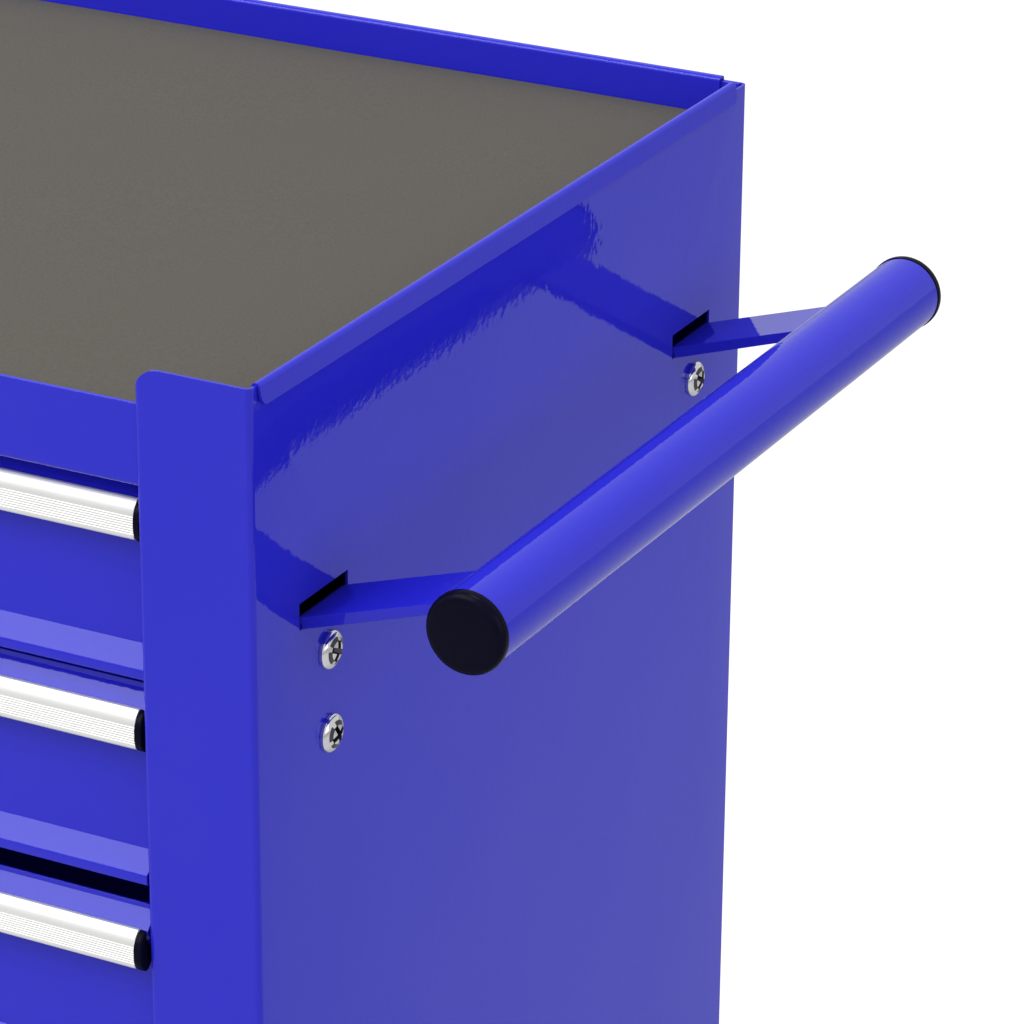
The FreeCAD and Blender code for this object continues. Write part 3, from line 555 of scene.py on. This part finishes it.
for number in drawer_numbers:
    node = "drawer_%d_pull_caps" % number
    low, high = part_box(node)
    both = [skin_between(cap_rings(low, high, high.x - cap_thick * MM, 1)),
            skin_between(cap_rings(low, high, low.x + cap_thick * MM, -1))]
    placed(node + "_moulded", joined(both, 40), node, black_plastic)

# ---------------------------------------------------------------- push handle
# A 25 mm steel tube fillet welded to two bent straps, coated in one go with the cabinet. The
# straps come out through slots in the side panel and are screwed to its inner face.
tube_low, tube_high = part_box("handle_tube")
tube_x = (tube_low.x + tube_high.x) / 2
tube_z = (tube_low.z + tube_high.z) / 2
tube_radius = (tube_high.z - tube_low.z) / 2
tube_wall = 1.2 * MM


def ring_round(x, z, radius, y, count=72):
    turns = [2 * math.pi * k / count for k in range(count)]
    return [(x + radius * math.cos(turn), y, z + radius * math.sin(turn)) for turn in turns]


def turned(profile, x, z, y, toward=1, count=72, capped=True):
    """A piece turned about an axis along Y through (x, y, z). profile: (radius, distance along)."""
    rings = [ring_round(x, z, radius, y + toward * out, count) for radius, out in profile]
    return skin_between(rings, capped)


tube_length = tube_high.y - tube_low.y
bore_radius = tube_radius - tube_wall
chamfer = 0.3 * MM
tube_profile = [(bore_radius, 0), (tube_radius - chamfer, 0), (tube_radius, chamfer),
                (tube_radius, tube_length - chamfer), (tube_radius - chamfer, tube_length),
                (bore_radius, tube_length), (bore_radius, 0)]
tube_mesh = mesh_from("handle_tube", *turned(tube_profile, tube_x, tube_z, tube_low.y, 1, 96, False))
placed("handle_tube_drawn", tube_mesh, "handle_tube", paint)
finished("handle_arms", paint, edge=0.35)

arms_low, arms_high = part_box("handle_arms")
arm_width = 27 * MM
bead_radius = 1.5 * MM
bead_sink = 0.1 * MM
bead_end = 1 * MM
bead_swell = 0.10
bead_ripples = 21
bead_steps = 54


def weld_bead(y0, y1, x, z, phase):
    """A fillet weld laid along Y: a rounded bead that swells and narrows with every ripple."""
    rings = []
    for k in range(bead_steps + 1):
        share = k / bead_steps
        taper = math.sqrt(max(0.02, 1 - (2 * share - 1) ** 8))
        ripple = math.sin(2 * bead_ripples * share * math.pi + phase)
        radius = bead_radius * taper * (1 + bead_swell * ripple)
        rings.append(ring_round(x, z, radius, y0 + (y1 - y0) * share, 14))
    return skin_between(rings)


def added(name, mesh, body, material):
    """Links a mesh as a piece that stands for no CAD node and rides on the given body."""
    mesh.materials.append(material)
    piece = bpy.data.objects.new(name, mesh)
    bpy.context.scene.collection.objects.link(piece)
    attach(piece, body)


beads = []
for y0 in (arms_low.y, arms_high.y - arm_width):
    for rise, phase in ((0.4, 0.0), (-2.6, 1.1)):
        beads.append(weld_bead(y0 + bead_end, y0 + arm_width - bead_end, tube_x - tube_radius - bead_sink,
                               tube_z + rise * MM, phase + 9 * y0))
added("handle_welds", joined(beads, 60), "cabinet", paint)

# ---------------------------------------------------------------- end caps of the handle
# Black moulded plugs pressed into the tube, each with a shallow domed head, a rounded edge and
# a narrow parting step where it meets the tube.
caps_low, caps_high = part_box("handle_end_caps")
head_radius = (caps_high.z - caps_low.z) / 2
head_depth = tube_low.y - caps_low.y
edge_round = 2.6 * MM
side_depth = 1.4 * MM
parting_step = 0.25 * MM
plug_gap = 0.1 * MM
hollow_gap = 2 * MM
plug_length = 14 * MM
head_floor = 1 * MM
axis_gap = 0.02 * MM
dome = head_depth - edge_round - side_depth
head_profile = [(axis_gap, head_depth)]
for share in (0.25, 0.5, 0.75, 1.0):
    head_profile.append(((head_radius - edge_round) * share, head_depth - dome * share ** 2))
for turn in range(10, 91, 10):
    head_profile.append((head_radius - edge_round * (1 - math.sin(math.radians(turn))),
                         side_depth + edge_round * math.cos(math.radians(turn))))
plug_radius = bore_radius - plug_gap
hollow_radius = bore_radius - hollow_gap
head_profile += [(head_radius, parting_step), (head_radius - parting_step, 0), (plug_radius, 0),
                 (plug_radius, -plug_length), (hollow_radius, -plug_length),
                 (hollow_radius, -head_floor), (axis_gap, -head_floor)]
both_caps = [turned(head_profile, tube_x, tube_z, tube_low.y, -1),
             turned(head_profile, tube_x, tube_z, tube_high.y, 1)]
placed("handle_caps_moulded", joined(both_caps, 34), "handle_end_caps", black_plastic)

# ---------------------------------------------------------------- handle screws
# M6 pan-head screws with a cross recess, nickel-chrome plated, through the side panel and the
# arm plates. The plating is bright, with faint turning lines. Inside the cross recess the plate
# is painted much darker, a painted shade that stands for the shadow in the recess.
chrome = bare_metal("bright chrome plate", (0.80, 0.80, 0.81, 1), (0.70, 0.70, 0.71, 1),
                    0.07, 0.14, 0.10, (1.0, 1.0, 1.0), 700.0)
# Painted shade: a much darker plate laid into the cross recess in place of the shadow inside it.
recess_painted_shade = bare_metal("plate darkened as painted shade in the recess", (0.10, 0.10, 0.12, 1), (0.03, 0.03, 0.03, 1),
                        0.25, 0.45, 0.30, (1.0, 1.0, 1.0), 900.0)
screw_radius = 6 * MM
screw_sides = 48
dome_ball = 9.62 * MM
first_turn = 24
next_turn = 41
screw_profile = [(0.02, 3.6), (1.5, 3.47), (3.0, 3.08), (4.4, 2.46), (5.2, 2.0), (5.6, 1.72), (5.85, 1.45),
                 (6.0, 1.15), (6.0, 0.15), (5.85, 0.0), (3.0, 0.0), (3.0, -10.4), (0.02, -10.4)]


def cross_ring(out, half_length, half_width, turn):
    """The corners of a cross, turned, in the plane across X that lies at out."""
    corners = []
    for quarter in range(4):
        for across, up in ((half_width, half_length), (-half_width, half_length), (-half_width, half_width)):
            angle = turn + quarter * math.pi / 2
            corners.append((out, across * math.cos(angle) - up * math.sin(angle),
                            across * math.sin(angle) + up * math.cos(angle)))
    return corners


def cut_away(solid, cutter, name):
    """The first mesh less the second one, as a new mesh."""
    kept = bpy.data.objects.new("kept", solid)
    tool = bpy.data.objects.new("tool", cutter)
    for piece in (kept, tool):
        bpy.context.scene.collection.objects.link(piece)
    difference = kept.modifiers.new("difference", "BOOLEAN")
    difference.operation = "DIFFERENCE"
    difference.object = tool
    bpy.context.view_layer.update()
    result = bpy.data.meshes.new_from_object(kept.evaluated_get(bpy.context.evaluated_depsgraph_get()))
    result.name = name
    for piece in (kept, tool):
        bpy.data.objects.remove(piece)
    return result


def pan_screw(turn):
    """One screw on the X axis with its head's seat at the origin."""
    turns = [2 * math.pi * k / screw_sides for k in range(screw_sides)]
    rings = [[(out * MM, radius * MM * math.cos(angle), radius * MM * math.sin(angle)) for angle in turns]
             for radius, out in screw_profile]
    recess = [cross_ring(1.1 * MM, 1.7 * MM, 0.45 * MM, turn),
              cross_ring(3.1 * MM, 3.3 * MM, 0.85 * MM, turn),
              cross_ring(4.2 * MM, 3.6 * MM, 0.95 * MM, turn)]
    head = mesh_from("screw", *skin_between(rings))
    return cut_away(head, mesh_from("cross", *skin_between(recess)), "pan_screw")


def in_recess(place):
    """True for the walls of the cross, and for the flats of the dome that lie between its arms' tips."""
    radius = math.hypot(place.y, place.z)
    dome = 3.6 * MM - dome_ball + math.sqrt(dome_ball ** 2 - min(radius, dome_ball) ** 2)
    return radius < 3.7 * MM and MM < place.x < dome - 0.08 * MM


screw_low, screw_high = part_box("handle_screws")
screw_ys = (screw_low.y + screw_radius, screw_high.y - screw_radius)
screw_zs = (screw_low.z + screw_radius, screw_high.z - screw_radius)
work = bmesh.new()
for order, (y, z) in enumerate((y, z) for y in screw_ys for z in screw_zs):
    before = len(work.verts)
    screw = pan_screw(math.radians(first_turn + next_turn * order))
    # Faces of the cross recess get the darker plate, as painted shade.
    for face in screw.polygons:
        face.material_index = 1 if in_recess(face.center) else 0
    work.from_mesh(screw)
    work.verts.ensure_lookup_table()
    bmesh.ops.translate(work, verts=work.verts[before:], vec=(right_face, y, z))
screws_mesh = bpy.data.meshes.new("handle_screws")
work.to_mesh(screws_mesh)
work.free()
smooth(screws_mesh, 24)
screws = placed("handle_screws_turned", screws_mesh, "handle_screws", chrome)
screws_mesh.materials.append(recess_painted_shade)
broken_edges(screws, 0.06)

# ---------------------------------------------------------------- spot welds
# The marks of the welding tongs, coated over: a row of shallow ringed dents down both back
# flanges of the side panels, where the sheet is pinched on to the back panel.
weld_profile = [(0.05, 0.02), (1.5, 0.03), (1.9, 0.12), (2.3, 0.16), (2.7, 0.12), (3.1, -0.02)]
weld_inset = 10 * MM
weld_wander = 1.3 * MM
weld_number = 7
left_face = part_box("side_panel_left")[0].x
marks = []
for x in (left_face + weld_inset, right_face - weld_inset):
    for k in range(weld_number):
        z = panel_low.z + (panel_high.z - panel_low.z) * (k + 0.5) / weld_number
        shift = weld_wander * math.sin(5 * k + 40 * x)
        marks.append(turned([(radius * MM, out * MM) for radius, out in weld_profile],
                            x + shift, z, panel_high.y, 1, 28))
added("spot_weld_marks", joined(marks, 50), "cabinet", paint)

# ---------------------------------------------------------------- nuts and caster bolts
# Plain M6 hexagon nuts and bolts, bright zinc plated, chamfered where the hexagon was turned.
zinc = bare_metal("bright zinc plate", (0.62, 0.63, 0.66, 1), (0.50, 0.50, 0.51, 1),
                  0.24, 0.36, 0.35, (1.0, 1.0, 0.15), 500.0)
finished("hex_nuts", zinc, edge=0.3)
finished("caster_bolts", zinc, edge=0.3)

# ---------------------------------------------------------------- lock
# A cam lock in the middle of the fascia: a flanged die-cast housing and a key barrel, both
# chrome plated, and a stamped zinc-plated cam on the back of the barrel.
finished("lock_housing", chrome, edge=0.3)
finished("lock_barrel", chrome, edge=0.25)
finished("lock_cam", zinc, edge=0.25)

# ---------------------------------------------------------------- drawer slides
# Rolled steel channels, zinc plated: the wide ones fixed in the cabinet, the narrow ones riding
# inside them on the drawers. Rolling leaves fine lines along their length.
rolled_zinc = bare_metal("rolled zinc steel", (0.60, 0.61, 0.63, 1), (0.46, 0.46, 0.46, 1),
                         0.26, 0.42, 0.4, (1.0, 0.03, 1.0), 900.0)
finished("outer_slide_rails", rolled_zinc, edge=0.15)
for number in drawer_numbers:
    finished("drawer_%d_slides" % number, rolled_zinc, edge=0.15)

# ---------------------------------------------------------------- casters
# Pressed and zinc-plated plates, forks, kingpins and axles. The two on the handle side swivel on
# a ball race; the two on the other side are fixed.
for node in ("fixed_caster_forks", "fixed_caster_axles", "swivel_caster_plates"):
    finished(node, zinc, edge=0.3)
for side in ("front", "back"):
    finished("swivel_fork_" + side, zinc, edge=0.3)
    finished("swivel_axle_" + side, zinc, edge=0.3)

# ---------------------------------------------------------------- wheels
# Moulded nylon wheel centres, dark grey: a hub and a rim joined by a thin web, stiffened on both
# sides by radial ribs that grow out of the moulding.
wheel_plastic = grained("dark nylon", (0.040, 0.040, 0.042, 1), (0.052, 0.052, 0.054, 1),
                        (0.060, 0.059, 0.056, 1), 0.45, 0.25, 1200.0, 0.4)
hub_bore = 4.08 * MM
rim_half_width = 12.5 * MM
rib_number = 8
rib_half_thickness = 1.1 * MM
rib_half_height = 10.5 * MM


def wheel_profile(half_hub, half_rim):
    """The outline of the wheel from its bore to its tyre seat, both sides, in metres."""
    one_side = [(hub_bore, half_hub - 0.3 * MM), (hub_bore + 0.3 * MM, half_hub), (12.4 * MM, half_hub),
                (13.2 * MM, half_hub - 0.6 * MM), (15 * MM, 8.2 * MM), (15.8 * MM, 5.5 * MM),
                (17 * MM, 5 * MM), (29.4 * MM, 5 * MM), (30.6 * MM, 5.8 * MM),
                (32.8 * MM, half_rim - 0.8 * MM), (33.6 * MM, half_rim), (37.6 * MM, half_rim),
                (38 * MM, half_rim - 0.4 * MM)]
    return one_side + [(radius, -out) for radius, out in reversed(one_side)] + [one_side[0]]


def wheel_rib(x, y, z, turn, half_web, half_top):
    """One radial rib through the web, as tall as the hub's shoulder, narrower at its crests."""
    rings = []
    for radius, tall in ((12.5 * MM, half_top), (22 * MM, half_top - 1.2 * MM), (34 * MM, half_top)):
        ring = []
        for across, out in ((-half_web, -tall + MM), (-0.6 * half_web, -tall), (0.6 * half_web, -tall),
                            (half_web, -tall + MM), (half_web, tall - MM), (0.6 * half_web, tall),
                            (-0.6 * half_web, tall), (-half_web, tall - MM)):
            ring.append((x + radius * math.cos(turn) - across * math.sin(turn), y + out,
                         z + radius * math.sin(turn) + across * math.cos(turn)))
        rings.append(ring)
    return skin_between(rings)


for kind in ("fixed", "swivel"):
    for side in ("front", "back"):
        node = "%s_wheel_%s" % (kind, side)
        low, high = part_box(node)
        centre = (low + high) / 2
        half_hub = (high.y - low.y) / 2
        parts = [turned(wheel_profile(half_hub, rim_half_width), centre.x, centre.z, centre.y, 1, 96, False)]
        for k in range(rib_number):
            parts.append(wheel_rib(centre.x, centre.y, centre.z, 2 * math.pi * (k + 0.5) / rib_number,
                                   rib_half_thickness, rib_half_height))
        placed(node + "_moulded", joined(parts, 36), node, wheel_plastic)

# ---------------------------------------------------------------- tyres
# Solid grey-black rubber moulded round the wheel centres: a crowned tread with two grooves,
# rounded shoulders, and a scuffed, dusty running surface.
tyre_rubber = grained("tyre rubber", (0.030, 0.030, 0.030, 1), (0.045, 0.044, 0.043, 1),
                      (0.085, 0.082, 0.078, 1), 0.72, 0.6, 700.0)


groove_depth = 0.8 * MM
groove_place = 0.42
groove_half_width = 0.07
crown_drop = 4 * MM
seat_radius = 38.02 * MM
seat_inset = 1.5 * MM


def tyre_profile(radius, half):
    """The outline of the tyre in metres: tread with two grooves, shoulders, walls, seat."""
    tread = []
    steps = 24
    for k in range(1 - steps, steps):
        share = abs(k) / steps
        groove = groove_depth * max(0.0, 1 - abs(share - groove_place) / groove_half_width)
        tread.append((radius - crown_drop * share ** 3 - groove, half * k / steps))
    wall = [(radius - 5 * MM, half), (radius - 7 * MM, half), (39 * MM, half - 1.2 * MM),
            (seat_radius, half - seat_inset)]
    return [(r, -out) for r, out in reversed(wall)] + tread + wall + [(seat_radius, seat_inset - half)]


for kind in ("fixed", "swivel"):
    for side in ("front", "back"):
        node = "%s_tyre_%s" % (kind, side)
        low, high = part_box(node)
        centre = (low + high) / 2
        shell = turned(tyre_profile((high.z - low.z) / 2, (high.y - low.y) / 2),
                       centre.x, centre.z, centre.y, 1, 128, False)
        placed(node + "_moulded", joined([shell], 34), node, tyre_rubber)

# ---------------------------------------------------------------- brake pedals
# Foot levers moulded in red plastic round a steel insert, with grip bars across the end that the
# foot presses.
brake_plastic = grained("red plastic", (0.45, 0.022, 0.016, 1), (0.50, 0.028, 0.020, 1),
                        (0.38, 0.035, 0.028, 1), 0.38, 0.2, 1300.0, 0.45)


grip_number = 5
first_grip = 3.5
grip_pitch = 4.5
grip_end = 3 * MM
pad_drop = 21
pad_rise = 6
pad_run = 32


def grip_bar(x, z, y0, y1):
    """A low half-round bar along Y, its ends drawn in."""
    rings = []
    for y, radius in ((y0, 0.4), (y0 + 0.5 * MM, 0.9), (y0 + 1.2 * MM, 1.1), (y1 - 1.2 * MM, 1.1),
                      (y1 - 0.5 * MM, 0.9), (y1, 0.4)):
        rings.append(ring_round(x, z, radius * MM, y, 16))
    return skin_between(rings)


for side in ("front", "back"):
    node = "brake_pedal_" + side
    finished(node, brake_plastic, edge=0.5)
    low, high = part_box(node)
    grips = []
    for k in range(grip_number):
        inward = first_grip + grip_pitch * k
        height = high.z - (pad_drop - inward * pad_rise / pad_run) * MM
        grips.append(grip_bar(low.x + inward * MM, height, low.y + grip_end, high.y - grip_end))
    added(node + "_grips", joined(grips, 40), "brake_" + side, brake_plastic)
